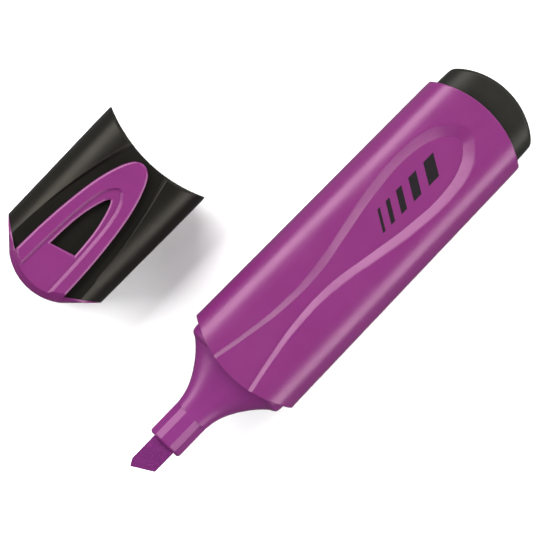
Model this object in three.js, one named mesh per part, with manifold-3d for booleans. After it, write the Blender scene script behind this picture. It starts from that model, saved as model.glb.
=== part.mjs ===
// A flat highlighter pen lying on its broad face, with its cap pulled off and laid beside it.
// Millimetres, +Z up. X runs along the pen from the nib to the end plug, and Y from the pen to the cap.
// The origin is on the table, under the middle of the pen and the cap together.
//
// Pen stations are measured from the nib tip. Cap stations are measured from the corners of the cap's
// mouth, and are negative because the closed end points the same way as the nib.

import * as THREE from 'three';
import { mergeVertices } from 'three/addons/utils/BufferGeometryUtils.js';
import Module from 'manifold-3d';

const wasm = await Module();
wasm.setup();

// ---- Driving dimensions ----------------------------------------------------------------------

const penLength = 108.45;
const axisSpacing = 42.45;

// The section shared by barrel and cap: a flat middle with rounded flanks.
const bodyHalfWidth = 13.45;
const rearHalfWidth = 12.6;
const bodyHalfThickness = 8.3;
const flatShare = 0.37;
const flankPower = 2.6;
const sideWall = 0.95;
const faceWall = 1.4;
const fitGap = 0.3;

// Barrel stations, and the radii of its arched ends.
const seamApex = 27.35;
const seamCorner = 31.15;
const seamRadius = 25.2;
const rimCorner = 98.65;
const rimApex = 102.75;
const rimRadius = 22.5;

// Moulded panel on the barrel face: [station, half width] of its floor and of its rim. The floor falls
// away towards the rear, so the walls stay visible where the face curves down to meet them.
const panelFrontDepth = 0.45;
const panelFrontStation = 27.9;
const panelFall = 0.0095;
const panelFloor = [[25.6, 4.95], [37.7, 2.7], [49.7, 1.48], [59.7, 2.2], [69.7, 3.85], [81.7, 5.2], [90.7, 3.8]];
const panelFloorTip = 94.55;
const panelRim = [[25.6, 5.9], [37.7, 3.62], [49.7, 2.83], [59.7, 3.95], [69.7, 5.7], [82.4, 7.15], [92.3, 5.35]];
const panelRimTip = 97.45;

// Front section: nozzle, flare and the skirt that fills the barrel mouth.
const nozzleFront = 7.85;
const flareStart = 15.85;
const skirtStart = 28.3;
const spigotEnd = 39;
const nozzleHalfWidth = 3.98;
const nozzleHalfThickness = 3.3;
const nozzleCrease = 2.5;
const nozzleCrown = 0.35;
const nozzleFacetFoot = 1.3;
const skirtHalfWidth = 12.1;
const skirtHalfThickness = 6.6;
const flareTopHalfWidth = 10.9;
const flareTopHalfThickness = 6.1;
const flareWall = 1.3;

// Chisel nib.
const nibHalfWidth = 2.67;
const nibHalfThickness = 1.95;
const nibTipY = 1.75;
const nibHeelX = 2.55;
const nibShoulderX = 1.85;
const nibEdgeHalfThickness = 0.6;
const wedgeLength = 6.4;
const nibTail = 36.5;

// Ink reservoir in its film.
const reservoirFront = 33.5;
const reservoirRear = 93;
const reservoirHalfWidth = 8.2;
const reservoirHalfThickness = 4.9;
const filmThickness = 0.3;
const filmGap = 0.15;

// End plug.
const plugInner = 94;
const plugRadius = 16.3;
const plugHalfWidth = 11.45;
const plugHalfThickness = 6.7;
const plugEdge = 0.9;
const plugWall = 1.5;

// Cap.
const capLength = 38.3;
const capEndHalfWidth = 13.1;
const capShoulder = -30.2;
const mouthApex = -2.8;
const mouthRadius = 32;
const capEndRound = 2;
const shellEndApex = -36.1;
const cavityNarrow = 5;
const cavityEndApex = -34.4;

// Channel in the cap face that the clip lies in: [station, half width] of its floor and of its rim.
const channelFloor = [[3, 4.1], [-3, 4.75], [-10, 6.45], [-16, 7.75], [-22, 8.7], [-29, 9.4], [-40, 9.75]];
const channelRim = [[3, 4.9], [-3, 5.5], [-10, 7.05], [-16, 8.15], [-22, 9.0], [-29, 9.6], [-40, 10]];
const channelMouthDepth = 0.62;
const channelEndDepth = 0.9;

// Clip: a slim ogive blade with a teardrop recess and a window.
const clipOutline = [
  [-40, 7], [-34, 6.93], [-29, 6.8], [-24.5, 6.52], [-20, 6.04], [-15.5, 5.36], [-11.5, 4.46], [-8.2, 3.37],
  [-5.7, 2.12], [-4.35, 1.05],
];
const clipTip = -3.85;
const clipUnderside = 8;
const clipTop = 9.4;
const clipRoot = -33.45;
const clipRecess = [
  [-37.6, 4.05], [-33, 3.93], [-28, 3.78], [-23.5, 3.56], [-19.5, 3.22], [-16, 2.62], [-13.2, 1.75], [-11.6, 0.85],
];
const clipRecessTip = -11.1;
const clipRecessDepth = 0.46;
const clipRecessSlope = 0.35;
const windowBaseLeft = -28.5;
const windowBaseRight = -26.85;
const windowBaseHalfWidth = 2.7;
const windowTip = -13.7;

// Inner sleeve of the cap, which closes around the nozzle.
const sleeveFront = -15.1;
const sleeveRear = -32.9;
const sleeveHalfWidth = 5.4;
const sleeveHalfThickness = 4.6;
const sleeveWall = 1.1;

// Where the mouth corners lie along the pen while the cap is off.
const capMouthStation = 49.75;

const arcSteps = 12;
const flankSteps = 10;

// ---- Solids ----------------------------------------------------------------------------------

function toSolid(geometry) {
  const bare = geometry.clone();
  bare.deleteAttribute('normal');
  bare.deleteAttribute('uv');
  const merged = mergeVertices(bare, 1e-4);
  return new wasm.Manifold(new wasm.Mesh({
    numProp: 3,
    vertProperties: new Float32Array(merged.attributes.position.array),
    triVerts: new Uint32Array(merged.index.array),
  }));
}

function toGeometry(solid) {
  const mesh = solid.getMesh();
  const geometry = new THREE.BufferGeometry();
  geometry.setAttribute('position', new THREE.BufferAttribute(new Float32Array(mesh.vertProperties), 3));
  geometry.setIndex(new THREE.BufferAttribute(new Uint32Array(mesh.triVerts), 1));
  geometry.computeVertexNormals();
  return geometry;
}

function eachVertex(geometry, change) {
  const position = geometry.attributes.position;
  const point = new THREE.Vector3();
  for (let i = 0; i < position.count; i += 1) {
    point.fromBufferAttribute(position, i);
    change(point);
    position.setXYZ(i, point.x, point.y, point.z);
  }
  return geometry;
}

// A shape drawn in Y and Z and pushed along X, then resized station by station.
function sweptSolid(shape, startX, endX, steps = 1, scaleAt = null) {
  const geometry = new THREE.ExtrudeGeometry(shape, {
    depth: endX - startX, steps, bevelEnabled: false, curveSegments: arcSteps,
  });
  const turn = new THREE.Matrix4().makeBasis(
    new THREE.Vector3(0, 1, 0), new THREE.Vector3(0, 0, 1), new THREE.Vector3(1, 0, 0));
  geometry.applyMatrix4(turn).translate(startX, 0, 0);
  if (scaleAt) {
    eachVertex(geometry, (point) => {
      const [scaleY, scaleZ] = scaleAt(point.x);
      point.y *= scaleY;
      point.z *= scaleZ;
    });
  }
  return toSolid(geometry);
}

// A plan outline between two heights, with its top and bottom edges rounded by round.
function planSolid(shape, lowZ, highZ, round = 0) {
  const geometry = new THREE.ExtrudeGeometry(shape, {
    depth: highZ - lowZ - 2 * round,
    steps: 1,
    bevelEnabled: round > 0,
    bevelThickness: round,
    bevelSize: round,
    bevelOffset: -round,
    bevelSegments: 5,
    curveSegments: arcSteps,
  });
  return toSolid(geometry.translate(0, 0, lowZ + round));
}

function boxSolid(lowX, highX, halfWidth, lowZ, highZ) {
  const box = new THREE.BoxGeometry(highX - lowX, 2 * halfWidth, highZ - lowZ);
  return toSolid(box.translate((lowX + highX) / 2, 0, (lowZ + highZ) / 2));
}

// A recess with a floor outline, and walls that slope out to a rim outline and then go straight up.
// The floor and the rim may sit at changing heights.
function traySolid(floorPoints, rimPoints, floorZ, rimZ) {
  const overshoot = 1.06;
  const shape = new THREE.Shape(floorPoints);
  const geometry = new THREE.ExtrudeGeometry(shape, { depth: 2, steps: 2, bevelEnabled: false });
  eachVertex(geometry, (point) => {
    const nearest = floorPoints.reduce((best, candidate, index) => {
      const distance = Math.hypot(candidate.x - point.x, candidate.y - point.y);
      return distance < best.distance ? { distance, index } : best;
    }, { distance: Infinity, index: 0 });
    const floor = floorPoints[nearest.index];
    const rim = rimPoints[nearest.index];
    const layer = Math.round(point.z);
    const reach = layer === 0 ? 0 : overshoot;
    const low = floorZ(floor.x);
    point.x = floor.x + (rim.x - floor.x) * reach;
    point.y = floor.y + (rim.y - floor.y) * reach;
    point.z = layer === 2 ? 2 * bodyHalfThickness : low + (rimZ(rim.x, rim.y) - low) * reach;
  });
  return toSolid(geometry);
}

function named(name, solid, finish) {
  const mesh = new THREE.Mesh(toGeometry(solid), new THREE.MeshStandardMaterial(finish));
  mesh.name = name;
  return mesh;
}

// ---- Outlines --------------------------------------------------------------------------------

// Height of the section's face at a distance y from the middle.
function faceHeight(y, halfWidth, halfThickness) {
  const flat = flatShare * halfWidth;
  const across = Math.max(0, Math.abs(y) - flat) / (halfWidth - flat);
  return halfThickness * (1 - Math.min(1, across) ** flankPower) ** (1 / flankPower);
}

// Flat middle and rounded flanks, as a closed outline in Y and Z.
function bodySection(halfWidth, halfThickness) {
  const flat = flatShare * halfWidth;
  const quarter = [];
  for (let i = 0; i <= flankSteps; i += 1) {
    const angle = (i / flankSteps) * (Math.PI / 2);
    quarter.push([
      flat + (halfWidth - flat) * Math.cos(angle) ** (2 / flankPower),
      halfThickness * Math.sin(angle) ** (2 / flankPower),
    ]);
  }
  const back = [...quarter].reverse();
  const points = [
    ...quarter,
    ...back.map(([y, z]) => [-y, z]),
    ...quarter.slice(1).map(([y, z]) => [-y, -z]),
    ...back.slice(0, -1).map(([y, z]) => [y, -z]),
  ];
  return new THREE.Shape(points.map(([y, z]) => new THREE.Vector2(y, z)));
}

// A strip from a straight end at lowX to an arc that bulges to its apex at highX.
function archedPlan(lowX, highX, radius, halfWidth) {
  const shape = new THREE.Shape();
  const angle = Math.asin(halfWidth / radius);
  shape.moveTo(lowX, halfWidth);
  shape.lineTo(lowX, -halfWidth);
  shape.absarc(highX - radius, 0, radius, -angle, angle, false);
  shape.closePath();
  return shape;
}

// The cap's closed end seen from above: straight shoulders and an arched middle, up to openX.
function capEndPlan(shoulder, apex, bendX, bendY, openX) {
  const wide = bodyHalfWidth + 3;
  const slope = (shoulder - bendX) / (capEndHalfWidth - bendY);
  const outerX = shoulder + slope * (wide - capEndHalfWidth);
  const sagitta = bendX - apex;
  const radius = (bendY ** 2 + sagitta ** 2) / (2 * sagitta);
  const angle = Math.asin(bendY / radius);
  const shape = new THREE.Shape();
  shape.moveTo(openX, wide);
  shape.lineTo(outerX, wide);
  shape.lineTo(bendX, bendY);
  shape.absarc(apex + radius, 0, radius, Math.PI - angle, Math.PI + angle, false);
  shape.lineTo(outerX, -wide);
  shape.lineTo(openX, -wide);
  shape.closePath();
  return shape;
}

// A smooth outline through [station, half width] pairs, mirrored about the X axis and closed at a tip.
function mirroredOutline(stations, tipX, samples) {
  const upper = stations.map(([x, y]) => new THREE.Vector2(x, y));
  const lower = [...stations].reverse().map(([x, y]) => new THREE.Vector2(x, -y));
  return new THREE.SplineCurve([...upper, new THREE.Vector2(tipX, 0), ...lower]).getPoints(samples);
}

function openBand(stations, samples) {
  const upper = new THREE.SplineCurve(stations.map(([x, y]) => new THREE.Vector2(x, y))).getPoints(samples);
  const lower = [...upper].reverse().map((point) => new THREE.Vector2(point.x, -point.y));
  return [...upper, ...lower];
}

// ---- Pen -------------------------------------------------------------------------------------

function barrelHalfWidth(x) {
  return THREE.MathUtils.mapLinear(x, seamCorner, rimCorner, bodyHalfWidth, rearHalfWidth);
}

function makeBarrel() {
  const narrowing = (inset) => (x) => [(barrelHalfWidth(x) - inset) / (bodyHalfWidth - inset), 1];
  const startX = seamApex - 1;
  const endX = rimApex + 1;
  const outer = sweptSolid(bodySection(bodyHalfWidth, bodyHalfThickness), startX, endX, 1, narrowing(0));
  const hollowSection = bodySection(bodyHalfWidth - sideWall, bodyHalfThickness - faceWall);
  const hollow = sweptSolid(hollowSection, startX - 1, endX + 1, 1, narrowing(sideWall));
  const middle = (seamApex + rimApex) / 2;
  const tall = bodyHalfThickness + 1;
  const seamEnd = planSolid(archedPlan(-middle - 1, -seamApex, seamRadius, bodyHalfWidth + 1), -tall, tall);
  const rimEnd = planSolid(archedPlan(middle, rimApex, rimRadius, bodyHalfWidth + 1), -tall, tall);
  const arched = seamEnd.rotate([0, 0, 180]).add(rimEnd);
  const panel = traySolid(
    mirroredOutline(panelFloor, panelFloorTip, 64),
    mirroredOutline(panelRim, panelRimTip, 64),
    (x) => bodyHalfThickness - panelFrontDepth - panelFall * (x - panelFrontStation),
    (x, y) => faceHeight(y, barrelHalfWidth(x), bodyHalfThickness));
  return outer.intersect(arched).subtract(hollow).subtract(panel);
}

function nozzleSection(halfWidth, halfThickness) {
  const shoulderZ = halfThickness - nozzleCrown;
  const shape = new THREE.Shape();
  shape.moveTo(halfWidth, -nozzleFacetFoot);
  shape.lineTo(halfWidth, nozzleFacetFoot);
  shape.lineTo(nozzleCrease, shoulderZ);
  shape.quadraticCurveTo(0, halfThickness + nozzleCrown, -nozzleCrease, shoulderZ);
  shape.lineTo(-halfWidth, nozzleFacetFoot);
  shape.lineTo(-halfWidth, -nozzleFacetFoot);
  shape.lineTo(-nozzleCrease, -shoulderZ);
  shape.quadraticCurveTo(0, -halfThickness - nozzleCrown, nozzleCrease, -shoulderZ);
  shape.closePath();
  return shape;
}

// Half width and half thickness of the flare, less a wall where it is hollow.
function flareScale(inset) {
  const low = nozzleHalfWidth;
  const bend = flareStart + 5.7;
  const profile = new THREE.QuadraticBezierCurve(
    new THREE.Vector2(flareStart, 0), new THREE.Vector2(bend, 0), new THREE.Vector2(skirtStart, 1));
  const table = profile.getPoints(60);
  return (x) => {
    const next = table.findIndex((point) => point.x >= Math.min(x, skirtStart));
    const after = table[Math.max(1, next)];
    const before = table[Math.max(1, next) - 1];
    const share = THREE.MathUtils.mapLinear(Math.min(x, skirtStart), before.x, after.x, before.y, after.y);
    const halfWidth = THREE.MathUtils.lerp(low, flareTopHalfWidth, share);
    const halfThickness = THREE.MathUtils.lerp(nozzleHalfThickness, flareTopHalfThickness, share);
    return [halfWidth - inset, halfThickness - inset];
  };
}

function makeNose() {
  const unit = bodySection(1, 1);
  const flare = sweptSolid(unit, flareStart, skirtStart, 12, flareScale(0));
  const skirtDraft = (x) => {
    const share = THREE.MathUtils.smoothstep(x, skirtStart - 0.01, skirtStart + 0.9);
    return [
      THREE.MathUtils.lerp(flareTopHalfWidth, skirtHalfWidth, share),
      THREE.MathUtils.lerp(flareTopHalfThickness, skirtHalfThickness, share),
    ];
  };
  const shoulder = sweptSolid(unit, skirtStart - 0.01, skirtStart + 0.9, 4, skirtDraft);
  const spigotSection = bodySection(skirtHalfWidth, skirtHalfThickness);
  const spigot = sweptSolid(spigotSection, skirtStart + 0.85, spigotEnd);
  const nozzle = planSolid(
    nozzlePlan(), -bodyHalfThickness, bodyHalfThickness).intersect(
    sweptSolid(nozzleSection(nozzleHalfWidth, nozzleHalfThickness), nozzleFront, flareStart + 0.6));
  const hollowStart = flareStart + 6;
  const hollow = sweptSolid(unit, hollowStart, skirtStart, 8, flareScale(flareWall));
  const hollowRear = sweptSolid(
    bodySection(flareTopHalfWidth - flareWall, flareTopHalfThickness - flareWall), skirtStart - 0.01, skirtStart + 1.5);
  const spigotBore = sweptSolid(
    bodySection(skirtHalfWidth - flareWall, skirtHalfThickness - 1), skirtStart + 1.49, spigotEnd + 1);
  const channel = boxSolid(0, spigotEnd, nibHalfWidth + fitGap, -nibHalfThickness - fitGap, nibHalfThickness + fitGap);
  return nozzle.add(flare).add(shoulder).add(spigot)
    .subtract(hollow).subtract(hollowRear).subtract(spigotBore).subtract(channel);
}

// The nozzle from above, with its front corners eased.
function nozzlePlan() {
  const ease = 0.5;
  const wide = nozzleHalfWidth;
  const shape = new THREE.Shape();
  shape.moveTo(flareStart + 1, wide);
  shape.lineTo(nozzleFront + ease, wide);
  shape.quadraticCurveTo(nozzleFront, wide, nozzleFront, wide - ease);
  shape.lineTo(nozzleFront, ease - wide);
  shape.quadraticCurveTo(nozzleFront, -wide, nozzleFront + ease, -wide);
  shape.lineTo(flareStart + 1, -wide);
  shape.closePath();
  return shape;
}

function makeNib() {
  const plan = new THREE.Shape();
  plan.moveTo(nibTail, nibHalfWidth);
  plan.lineTo(nibShoulderX, nibHalfWidth);
  plan.lineTo(0, nibTipY);
  plan.lineTo(nibHeelX, -nibHalfWidth);
  plan.lineTo(nibTail, -nibHalfWidth);
  plan.closePath();
  const side = new THREE.Shape();
  side.moveTo(0, nibEdgeHalfThickness);
  side.lineTo(0, -nibEdgeHalfThickness);
  side.lineTo(wedgeLength, -nibHalfThickness);
  side.lineTo(nibTail, -nibHalfThickness);
  side.lineTo(nibTail, nibHalfThickness);
  side.lineTo(wedgeLength, nibHalfThickness);
  side.closePath();
  const profile = new THREE.ExtrudeGeometry(side, { depth: 8, steps: 1, bevelEnabled: false });
  profile.rotateX(Math.PI / 2).translate(0, 4, 0);
  return planSolid(plan, -nibHalfThickness - 1, nibHalfThickness + 1).intersect(toSolid(profile));
}

function makeReservoir() {
  const core = sweptSolid(bodySection(reservoirHalfWidth, reservoirHalfThickness), reservoirFront, reservoirRear);
  const pocket = boxSolid(
    reservoirFront - 1, nibTail + fitGap, nibHalfWidth + fitGap,
    -nibHalfThickness - fitGap, nibHalfThickness + fitGap);
  return core.subtract(pocket);
}

function makeReservoirFilm() {
  const inner = filmGap;
  const outer = filmGap + filmThickness;
  const endX = reservoirRear + fitGap;
  const startX = reservoirFront - fitGap;
  const tube = sweptSolid(bodySection(reservoirHalfWidth + outer, reservoirHalfThickness + outer), startX, endX);
  const bore = sweptSolid(
    bodySection(reservoirHalfWidth + inner, reservoirHalfThickness + inner), startX - 1, endX + 1);
  return tube.subtract(bore);
}

function makeEndPlug() {
  const plan = archedPlan(plugInner - 5, penLength, plugRadius, plugHalfWidth + 1);
  const body = sweptSolid(bodySection(plugHalfWidth, plugHalfThickness), plugInner, penLength + 1);
  const rounded = planSolid(plan, -plugHalfThickness, plugHalfThickness, plugEdge);
  const pocket = sweptSolid(
    bodySection(plugHalfWidth - plugWall, plugHalfThickness - plugWall), plugInner - 1, rimCorner + 3);
  return body.intersect(rounded).subtract(pocket);
}

// ---- Cap -------------------------------------------------------------------------------------

function capNarrowing(inset) {
  return (x) => {
    const halfWidth = THREE.MathUtils.mapLinear(x, 0, capShoulder, bodyHalfWidth, capEndHalfWidth);
    return (halfWidth - inset) / (bodyHalfWidth - inset);
  };
}

function capEnvelope() {
  const narrow = capNarrowing(0);
  const body = sweptSolid(
    bodySection(bodyHalfWidth, bodyHalfThickness), -capLength - 1, 1, 1, (x) => [narrow(x), 1]);
  const plan = capEndPlan(capShoulder, -capLength, -35.8, 7.3, 20);
  return body.intersect(planSolid(plan, -bodyHalfThickness, bodyHalfThickness, capEndRound));
}

// The outline of the black shell's closed end, shifted by a gap where another piece covers it.
function shellPlan(gap) {
  return capEndPlan(-30.1 - gap, shellEndApex - gap, -34.3 - gap, 7.1, 20);
}

function capCavity() {
  const narrow = capNarrowing(sideWall);
  const openHalf = bodyHalfThickness - faceWall;
  const height = (x) => THREE.MathUtils.lerp(cavityNarrow, openHalf, THREE.MathUtils.smoothstep(x, -13, -6));
  const bore = sweptSolid(
    bodySection(bodyHalfWidth - sideWall, openHalf), -capLength, 4, 14, (x) => [narrow(x), height(x) / openHalf]);
  const plan = capEndPlan(-28.8, cavityEndApex, -32.8, 6.6, 20);
  return bore.intersect(planSolid(plan, -bodyHalfThickness, bodyHalfThickness));
}

function mouthCutter() {
  const shape = new THREE.Shape();
  shape.absarc(mouthApex + mouthRadius, 0, mouthRadius, Math.PI / 2, (3 * Math.PI) / 2, false);
  shape.closePath();
  const geometry = new THREE.ExtrudeGeometry(shape, {
    depth: 4 * bodyHalfThickness, steps: 1, bevelEnabled: false, curveSegments: 2 * arcSteps,
  });
  return toSolid(geometry.translate(0, 0, -2 * bodyHalfThickness));
}

function clipChannel() {
  const depthAt = (x) => THREE.MathUtils.mapLinear(x, mouthApex, shellEndApex, channelMouthDepth, channelEndDepth);
  return traySolid(
    openBand(channelFloor, 24),
    openBand(channelRim, 24),
    (x) => bodyHalfThickness - depthAt(x),
    (x, y) => faceHeight(y, bodyHalfWidth, bodyHalfThickness));
}

function makeCapShell() {
  const shell = planSolid(shellPlan(0), -bodyHalfThickness - 1, bodyHalfThickness + 1);
  return capEnvelope().intersect(shell).subtract(clipChannel()).subtract(capCavity()).subtract(mouthCutter());
}

// Blade and root of the clip in one piece, with recess and window.
function clipBlank() {
  const outline = planSolid(new THREE.Shape(mirroredOutline(clipOutline, clipTip, 60)), 0, clipTop + 1);
  const endPlan = capEndPlan(capShoulder, -capLength, -35.8, 7.3, 20);
  const rounded = planSolid(endPlan, -bodyHalfThickness, clipTop, capEndRound);
  const floor = mirroredOutline(clipRecess, clipRecessTip, 48);
  const rim = floor.map((point) => new THREE.Vector2(
    point.x + (point.y === 0 ? clipRecessSlope : 0), point.y + Math.sign(point.y) * clipRecessSlope));
  const recess = traySolid(floor, rim, () => clipTop - clipRecessDepth, () => clipTop);
  return outline.intersect(rounded).subtract(recess).subtract(clipWindow());
}

function clipWindow() {
  const side = [[-24, 2.52], [-20.5, 2.16], [-17.5, 1.56], [-15.2, 0.88], [-14.1, 0.42]];
  const upper = [[windowBaseLeft, windowBaseHalfWidth], ...side];
  const lower = [...side].reverse().map(([x, y]) => [x, -y]);
  const points = [...upper, [windowTip, 0], ...lower, [windowBaseRight, -windowBaseHalfWidth]];
  const curve = new THREE.SplineCurve(points.map(([x, y]) => new THREE.Vector2(x, y)));
  return planSolid(new THREE.Shape(curve.getPoints(40)), clipUnderside - 3, clipTop + 1);
}

function makeCapCrown() {
  const covered = planSolid(shellPlan(fitGap), -bodyHalfThickness - 1, bodyHalfThickness + 1);
  const bumper = capEnvelope().subtract(covered);
  const rootFloor = bodyHalfThickness - channelEndDepth + fitGap;
  const rootSpace = boxSolid(-capLength - 1, clipRoot - fitGap / 2, bodyHalfWidth, rootFloor, clipTop + 1);
  return bumper.add(clipBlank().intersect(rootSpace));
}

function makeCapClip() {
  const bladeSpace = boxSolid(clipRoot + fitGap / 2, 0, bodyHalfWidth, clipUnderside, clipTop + 1);
  return clipBlank().intersect(bladeSpace);
}

function makeCapSleeve() {
  const tube = sweptSolid(bodySection(sleeveHalfWidth, sleeveHalfThickness), sleeveRear, sleeveFront);
  const bore = sweptSolid(
    bodySection(sleeveHalfWidth - sleeveWall, sleeveHalfThickness - sleeveWall), sleeveRear + sleeveWall, 0);
  return tube.subtract(bore);
}

// ---- Assembly --------------------------------------------------------------------------------

const purplePlastic = { color: 0x943a84, roughness: 0.36, metalness: 0 };
const blackPlastic = { color: 0x1e1e1c, roughness: 0.38, metalness: 0 };
const mattBlackPlastic = { color: 0x2c2c28, roughness: 0.6, metalness: 0 };
const sleevePlastic = { color: 0x26262a, roughness: 0.5, metalness: 0 };
const inkedFelt = { color: 0x5e2066, roughness: 0.95, metalness: 0 };
const inkedFibre = { color: 0x8f3a92, roughness: 0.95, metalness: 0 };
const clearFilm = { color: 0xd8c4dc, roughness: 0.3, metalness: 0 };

const pen = new THREE.Group();
pen.position.set(-penLength / 2, -axisSpacing / 2, bodyHalfThickness);
pen.add(
  named('barrel', makeBarrel(), purplePlastic),
  named('front_section', makeNose(), purplePlastic),
  named('chisel_nib', makeNib(), inkedFelt),
  named('ink_reservoir', makeReservoir(), inkedFibre),
  named('reservoir_film', makeReservoirFilm(), clearFilm),
  named('end_plug', makeEndPlug(), mattBlackPlastic),
);

const cap = new THREE.Group();
cap.position.set(capMouthStation - penLength / 2, axisSpacing / 2, bodyHalfThickness);
cap.add(
  named('cap_shell', makeCapShell(), blackPlastic),
  named('cap_inner_sleeve', makeCapSleeve(), sleevePlastic),
  named('cap_crown', makeCapCrown(), purplePlastic),
  named('cap_clip', makeCapClip(), purplePlastic),
);

const highlighter = new THREE.Group();
highlighter.add(pen, cap);

export default highlighter;
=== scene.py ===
import math

import bpy
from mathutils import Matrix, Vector


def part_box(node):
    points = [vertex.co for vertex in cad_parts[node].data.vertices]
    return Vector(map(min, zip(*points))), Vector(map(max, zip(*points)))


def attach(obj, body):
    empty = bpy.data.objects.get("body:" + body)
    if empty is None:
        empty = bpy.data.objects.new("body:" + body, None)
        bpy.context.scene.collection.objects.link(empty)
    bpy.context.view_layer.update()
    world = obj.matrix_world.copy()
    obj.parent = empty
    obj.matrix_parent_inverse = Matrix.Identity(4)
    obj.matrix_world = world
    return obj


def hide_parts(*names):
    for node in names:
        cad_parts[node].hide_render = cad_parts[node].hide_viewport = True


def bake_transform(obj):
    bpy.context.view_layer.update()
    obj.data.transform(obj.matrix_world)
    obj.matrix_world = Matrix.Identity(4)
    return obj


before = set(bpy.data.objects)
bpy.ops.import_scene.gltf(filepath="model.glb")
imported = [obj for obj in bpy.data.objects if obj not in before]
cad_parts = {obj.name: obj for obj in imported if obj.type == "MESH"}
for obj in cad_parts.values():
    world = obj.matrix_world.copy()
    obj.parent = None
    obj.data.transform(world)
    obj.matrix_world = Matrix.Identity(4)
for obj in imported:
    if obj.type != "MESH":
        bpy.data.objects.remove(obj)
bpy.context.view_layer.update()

# A flat highlighter with its cap off. Pieces are modelled in millimetres, in two plain frames: pen
# pieces count X from the nib's tip, cap pieces from the corners of the cap's mouth, and both have
# Y and Z at 0 on their own middle. Each finished piece is then shrunk to metres and put in place.

MM = 0.001

# ---- Places from the frame ----

barrel_low, barrel_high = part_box("barrel")
shell_low, shell_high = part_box("cap_shell")
mid_height = (barrel_low[2] + barrel_high[2]) / 2
MOUTH_CORNER = 0.18
pen_place = (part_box("chisel_nib")[0][0], (barrel_low[1] + barrel_high[1]) / 2, mid_height)
cap_place = (shell_high[0] - MOUTH_CORNER * MM, (shell_low[1] + shell_high[1]) / 2, mid_height)

# ---- Sizes in millimetres ----
# Stations are (x, half width, half thickness). Outlines are (x, y), one side only where the shape
# is mirrored.

# The flat tube's section: a flat middle share, and flanks that are squarer for a larger number.
# SEAM_THICKNESS is as good as none, for a bar that closes in a seam.
HALF_THICKNESS = 8.3
FLAT_SHARE, BODY_FLANK = 0.37, 2.6
FACE_CUTS = 9
SEAM_THICKNESS = 0.00002
SIDE_WALL, FACE_WALL = 0.95, 1.4
RIM_ROUND = 0.17

# How far cutters reach past what they cut, and half the height of those that go right through.
CUT_PAST = 3
CUT_HALF_HEIGHT = 12

# Barrel: vertices before FRONT_BOW and past REAR_BOW are bowed with the ends. The bore, swept in
# from both ends, is joined at BARREL_MIDDLE.
PEN_LENGTH = 108.45
HALF_WIDTH, REAR_HALF_WIDTH = 13.56, 12.73
SEAM_APEX, SEAM_CORNER, SEAM_RADIUS = 27.35, 31.15, 25.2
RIM_APEX, RIM_CORNER, RIM_RADIUS = 102.75, 98.65, 22.5
BARREL_FRONT, BARREL_MIDDLE, BARREL_REAR = 33, 64.0, 97
FRONT_BOW, REAR_BOW = 30, 100

# The hourglass panel: its floor falls by PANEL_FALL per millimetre. Layers are shares of the way
# out and up from the floor to the rim.
PANEL_START, PANEL_FRONT_DEPTH, PANEL_FALL = 27.9, 0.45, 0.0095
PANEL_FLOOR = [
    (21, 6.0), (27.9, 4.6), (34.7, 3.24), (44.7, 1.72), (54.7, 1.53),
    (64.7, 3.1), (74.7, 4.7), (84.5, 5.15), (90.2, 3.95), (93.3, 2.0)]
PANEL_FLOOR_TIP = 94.4
PANEL_RIM = [
    (21, 6.9), (27.9, 5.45), (34.7, 4.13), (44.7, 2.9), (54.7, 3.2),
    (64.7, 4.8), (74.7, 6.6), (84.7, 7.2), (91.3, 6.1), (95.6, 3.3)]
PANEL_RIM_TIP = 97.4
PANEL_LAYERS = [(0.88, 0.88), (1.2, 1.05)]

# Printed strokes, each (start, width).
STROKES = [(71.2, 0.7), (73.6, 1.1), (76.6, 1.6), (80.2, 2.2), (84.6, 2.9)]
STROKE_LEAN, STROKE_HALF_HEIGHT = 1.3, 2.1
STROKE_THICKNESS, STROKE_EDGE, STROKE_GAP = 0.03, 0.012, 0.004

# Front section: nozzle, flare, and the squarer skirt that ends in the spigot.
NOZZLE_FRONT, NOZZLE_ROUND, NOZZLE_OVERLAP = 7.85, 0.7, 0.4
NOZZLE_HALF_WIDTH, NOZZLE_HALF_THICKNESS = 3.98, 3.3
NOZZLE_HALF_RING = [
    (NOZZLE_HALF_WIDTH, -0.6), (NOZZLE_HALF_WIDTH, 0.6), (2.65, 2.55),
    (1.2, NOZZLE_HALF_THICKNESS), (-1.2, NOZZLE_HALF_THICKNESS), (-2.65, 2.55)]
NOSE_FLANK, NOSE_FLAT = 2.4, 0.2
FLARE_START, SPIGOT_END = 15.85, 38.5
FLARE = [
    (FLARE_START, NOZZLE_HALF_WIDTH, NOZZLE_HALF_THICKNESS), (18, 4.25, 3.42), (20.5, 5.05, 3.78),
    (23, 6.4, 4.4), (25.3, 8.05, 5.05), (27, 9.6, 5.6), (28.1, 10.9, 6.12)]
FLARE_REAR = (28.6, 11.4, 6.3)
SKIRT = [
    (28.05, 10.9, 5.3), (28.3, 11.4, 5.8), (28.6, 11.8, 6.22), (29.1, 12.0, 6.5), (29.8, 12.1, 6.6),
    (SPIGOT_END, 12.1, 6.6)]
FRONT_HOLLOW = [
    (23, 4.6, 3.0), (26, 7.2, 4.1), (28, 9.2, 4.8), (30, 10.8, 5.3), (SPIGOT_END + 1, 10.8, 5.5)]

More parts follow.
